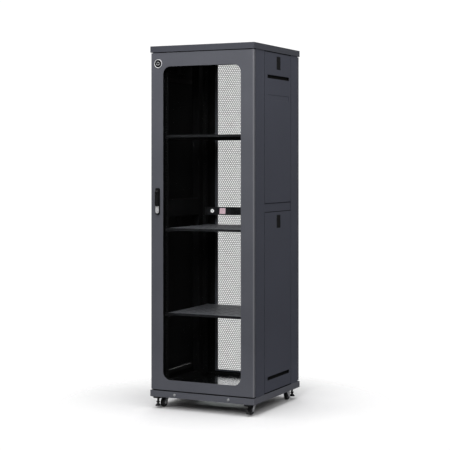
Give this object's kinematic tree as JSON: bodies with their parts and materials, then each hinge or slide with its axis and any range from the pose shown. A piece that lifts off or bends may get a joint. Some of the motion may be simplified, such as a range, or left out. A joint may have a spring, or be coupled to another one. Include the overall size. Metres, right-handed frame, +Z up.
{
  "type": "network rack cabinet",
  "caption": "Floor-standing 19 inch rack cabinet with glazed front door, perforated rear door, removable side panels, shelves, power strip, castors and levelling feet.",
  "frame": {"origin": "middle of the footprint on the floor, under the castor wheels", "axes": "-Y is the front with the glass door, +X the right side seen from the front, +Z up"},
  "size_m": [0.6, 0.632, 1.8946],
  "materials": {
    "base_paint": "textured powder coat, dark grey",
    "cover_paint": "textured powder coat, dark grey",
    "frame_paint": "textured powder coat, dark grey",
    "door_paint": "fine textured powder coat, charcoal grey",
    "panel_paint": "textured powder coat, dark grey",
    "mesh_paint": "powder coated perforated sheet",
    "galvanised_sheet": "galvanised, faint spangle",
    "rail_paint": "black powder coat",
    "shelf_paint": "textured powder coat, mid grey",
    "zinc_steel": "bright zinc plate",
    "strip_paint": "satin black extrusion",
    "outlet_plastic": "black moulded plastic",
    "reset_plastic": "white plastic",
    "switch_plastic": "red translucent rocker",
    "castor_steel": "zinc plated pressing",
    "castor_tread": "black tread",
    "foot_plate_paint": "black",
    "foot_steel": "blackened steel",
    "door_glass": "clear tempered",
    "seal_rubber": "black rubber",
    "badge_plastic": "silvered ring around a dark centre",
    "handle_black": "black, fine grain",
    "lock_chrome": "satin chrome",
    "spindle_zinc": "black zinc die casting",
    "latch_plastic": "black, fine grain",
    "fan_plastic": "black moulded plastic"
  },
  "bodies": {
    "cabinet": {"base_frame": "base_paint", "floor_panel": "galvanised_sheet", "front_frame": "frame_paint", "rear_frame": "frame_paint", "depth_rails": "frame_paint", "top_cover": "cover_paint", "rack_rail_front_left": "rail_paint", "rack_rail_front_right": "rail_paint", "rack_rail_rear_left": "rail_paint", "rack_rail_rear_right": "rail_paint", "shelf_upper": "shelf_paint", "shelf_middle": "shelf_paint", "shelf_lower": "shelf_paint", "screws": "zinc_steel", "cage_nuts": "zinc_steel", "strip_body": "strip_paint", "strip_outlets": "outlet_plastic", "castor_plates": "castor_steel", "foot_plates": "foot_plate_paint", "front_hinge_pins": "zinc_steel", "rear_hinge_pins": "zinc_steel", "fan_frames": "fan_plastic"},
    "front_door": {"front_door_frame": "door_paint", "front_glass": "door_glass", "glass_seal": "seal_rubber", "door_badge": "badge_plastic", "front_handle_housing": "handle_black", "front_lock_cover": "lock_chrome"},
    "front_spindle": {"front_handle_spindle": "spindle_zinc"},
    "front_lever": {"front_handle_lever": "handle_black"},
    "front_lock": {"front_lock_barrel": "lock_chrome"},
    "rear_door": {"rear_door_frame": "door_paint", "rear_mesh": "mesh_paint", "rear_handle_housing": "handle_black"},
    "rear_spindle": {"rear_handle_spindle": "spindle_zinc"},
    "rear_lever": {"rear_handle_lever": "handle_black"},
    "reset_button": {"strip_reset_button": "reset_plastic"},
    "power_switch": {"strip_switch": "switch_plastic"},
    "fan_left": {"fan_rotor_left": "fan_plastic"},
    "fan_right": {"fan_rotor_right": "fan_plastic"},
    "panel_upper_left": {"side_panel_upper_left": "panel_paint"},
    "latch_upper_left": {"side_latch_upper_left": "latch_plastic"},
    "panel_upper_right": {"side_panel_upper_right": "panel_paint"},
    "latch_upper_right": {"side_latch_upper_right": "latch_plastic"},
    "panel_lower_left": {"side_panel_lower_left": "panel_paint"},
    "latch_lower_left": {"side_latch_lower_left": "latch_plastic"},
    "panel_lower_right": {"side_panel_lower_right": "panel_paint"},
    "latch_lower_right": {"side_latch_lower_right": "latch_plastic"},
    "castor_front_left": {"castor_fork_front_left": "castor_steel"},
    "wheel_front_left": {"castor_wheel_front_left": "castor_tread"},
    "foot_front_left": {"foot_front_left": "foot_steel"},
    "castor_front_right": {"castor_fork_front_right": "castor_steel"},
    "wheel_front_right": {"castor_wheel_front_right": "castor_tread"},
    "foot_front_right": {"foot_front_right": "foot_steel"},
    "castor_rear_left": {"castor_fork_rear_left": "castor_steel"},
    "wheel_rear_left": {"castor_wheel_rear_left": "castor_tread"},
    "foot_rear_left": {"foot_rear_left": "foot_steel"},
    "castor_rear_right": {"castor_fork_rear_right": "castor_steel"},
    "wheel_rear_right": {"castor_wheel_rear_right": "castor_tread"},
    "foot_rear_right": {"foot_rear_right": "foot_steel"}
  },
  "joints": [
    {"name": "front_door_swing", "type": "hinge", "parent": "cabinet", "child": "front_door", "pos_m": [0.289, -0.289, 0], "axis": [0, 0, 1], "range_deg": [0, 120]},
    {"name": "front_handle_turn", "type": "hinge", "parent": "front_door", "child": "front_spindle", "pos_m": [-0.254, -0.3, 1.13282], "axis": [0, -1, 0], "range_deg": [0, 90]},
    {"name": "front_lever_lift", "type": "hinge", "parent": "front_spindle", "child": "front_lever", "pos_m": [-0.254, -0.311, 1.13282], "axis": [-1, 0, 0], "range_deg": [0, 30]},
    {"name": "front_lock_turn", "type": "hinge", "parent": "front_door", "child": "front_lock", "pos_m": [-0.254, -0.3, 1.03333], "axis": [0, -1, 0], "range_deg": [0, 90]},
    {"name": "rear_door_swing", "type": "hinge", "parent": "cabinet", "child": "rear_door", "pos_m": [-0.289, 0.289, 0], "axis": [0, 0, 1], "range_deg": [0, 120]},
    {"name": "rear_handle_turn", "type": "hinge", "parent": "rear_door", "child": "rear_spindle", "pos_m": [0.254, 0.3, 1.13282], "axis": [0, 1, 0], "range_deg": [0, 90]},
    {"name": "rear_lever_lift", "type": "hinge", "parent": "rear_spindle", "child": "rear_lever", "pos_m": [0.254, 0.311, 1.13282], "axis": [1, 0, 0], "range_deg": [0, 30]},
    {"name": "panel_upper_left_tilt", "type": "hinge", "parent": "cabinet", "child": "panel_upper_left", "pos_m": [-0.292, 0.008, 1.0747], "axis": [0, -1, 0], "range_deg": [0, 20]},
    {"name": "latch_upper_left_slide", "type": "slide", "parent": "panel_upper_left", "child": "latch_upper_left", "axis": [0, 0, -1], "range_m": [0, 0.008], "stiffness_N_per_m": 400, "springref_m": -0.006},
    {"name": "panel_upper_right_tilt", "type": "hinge", "parent": "cabinet", "child": "panel_upper_right", "pos_m": [0.292, 0.008, 1.0747], "axis": [0, 1, 0], "range_deg": [0, 20]},
    {"name": "latch_upper_right_slide", "type": "slide", "parent": "panel_upper_right", "child": "latch_upper_right", "axis": [0, 0, -1], "range_m": [0, 0.008], "stiffness_N_per_m": 400, "springref_m": -0.006},
    {"name": "panel_lower_left_tilt", "type": "hinge", "parent": "cabinet", "child": "panel_lower_left", "pos_m": [-0.292, 0.008, 0.0957], "axis": [0, -1, 0], "range_deg": [0, 20]},
    {"name": "latch_lower_left_slide", "type": "slide", "parent": "panel_lower_left", "child": "latch_lower_left", "axis": [0, 0, -1], "range_m": [0, 0.008], "stiffness_N_per_m": 400, "springref_m": -0.006},
    {"name": "panel_lower_right_tilt", "type": "hinge", "parent": "cabinet", "child": "panel_lower_right", "pos_m": [0.292, 0.008, 0.0957], "axis": [0, 1, 0], "range_deg": [0, 20]},
    {"name": "latch_lower_right_slide", "type": "slide", "parent": "panel_lower_right", "child": "latch_lower_right", "axis": [0, 0, -1], "range_m": [0, 0.008], "stiffness_N_per_m": 400, "springref_m": -0.006},
    {"name": "castor_front_left_swivel", "type": "hinge", "parent": "cabinet", "child": "castor_front_left", "pos_m": [-0.252, -0.212, 0], "axis": [0, 0, 1], "continuous": true},
    {"name": "wheel_front_left_roll", "type": "hinge", "parent": "castor_front_left", "child": "wheel_front_left", "pos_m": [-0.252, -0.234, 0.025], "axis": [1, 0, 0], "continuous": true},
    {"name": "foot_front_left_screw", "type": "slide", "parent": "cabinet", "child": "foot_front_left", "axis": [0, 0, -1], "range_m": [-0.008, 0.012]},
    {"name": "castor_front_right_swivel", "type": "hinge", "parent": "cabinet", "child": "castor_front_right", "pos_m": [0.252, -0.212, 0], "axis": [0, 0, 1], "continuous": true},
    {"name": "wheel_front_right_roll", "type": "hinge", "parent": "castor_front_right", "child": "wheel_front_right", "pos_m": [0.252, -0.234, 0.025], "axis": [1, 0, 0], "continuous": true},
    {"name": "foot_front_right_screw", "type": "slide", "parent": "cabinet", "child": "foot_front_right", "axis": [0, 0, -1], "range_m": [-0.008, 0.012]},
    {"name": "castor_rear_left_swivel", "type": "hinge", "parent": "cabinet", "child": "castor_rear_left", "pos_m": [-0.252, 0.212, 0], "axis": [0, 0, 1], "continuous": true},
    {"name": "wheel_rear_left_roll", "type": "hinge", "parent": "castor_rear_left", "child": "wheel_rear_left", "pos_m": [-0.252, 0.234, 0.025], "axis": [1, 0, 0], "continuous": true},
    {"name": "foot_rear_left_screw", "type": "slide", "parent": "cabinet", "child": "foot_rear_left", "axis": [0, 0, -1], "range_m": [-0.008, 0.012]},
    {"name": "castor_rear_right_swivel", "type": "hinge", "parent": "cabinet", "child": "castor_rear_right", "pos_m": [0.252, 0.212, 0], "axis": [0, 0, 1], "continuous": true},
    {"name": "wheel_rear_right_roll", "type": "hinge", "parent": "castor_rear_right", "child": "wheel_rear_right", "pos_m": [0.252, 0.234, 0.025], "axis": [1, 0, 0], "continuous": true},
    {"name": "foot_rear_right_screw", "type": "slide", "parent": "cabinet", "child": "foot_rear_right", "axis": [0, 0, -1], "range_m": [-0.008, 0.012]},
    {"name": "power_switch_rock", "type": "hinge", "parent": "cabinet", "child": "power_switch", "pos_m": [-0.132, 0.23, 1.01677], "axis": [1, 0, 0], "range_deg": [0, 16]},
    {"name": "reset_button_press", "type": "slide", "parent": "cabinet", "child": "reset_button", "axis": [0, 1, 0], "range_m": [0, 0.003], "stiffness_N_per_m": 300, "springref_m": -0.002},
    {"name": "fan_left_spin", "type": "hinge", "parent": "cabinet", "child": "fan_left", "pos_m": [-0.075, 0, 1.88], "axis": [0, 0, 1], "continuous": true},
    {"name": "fan_right_spin", "type": "hinge", "parent": "cabinet", "child": "fan_right", "pos_m": [0.075, 0, 1.88], "axis": [0, 0, 1], "continuous": true}
  ]
}
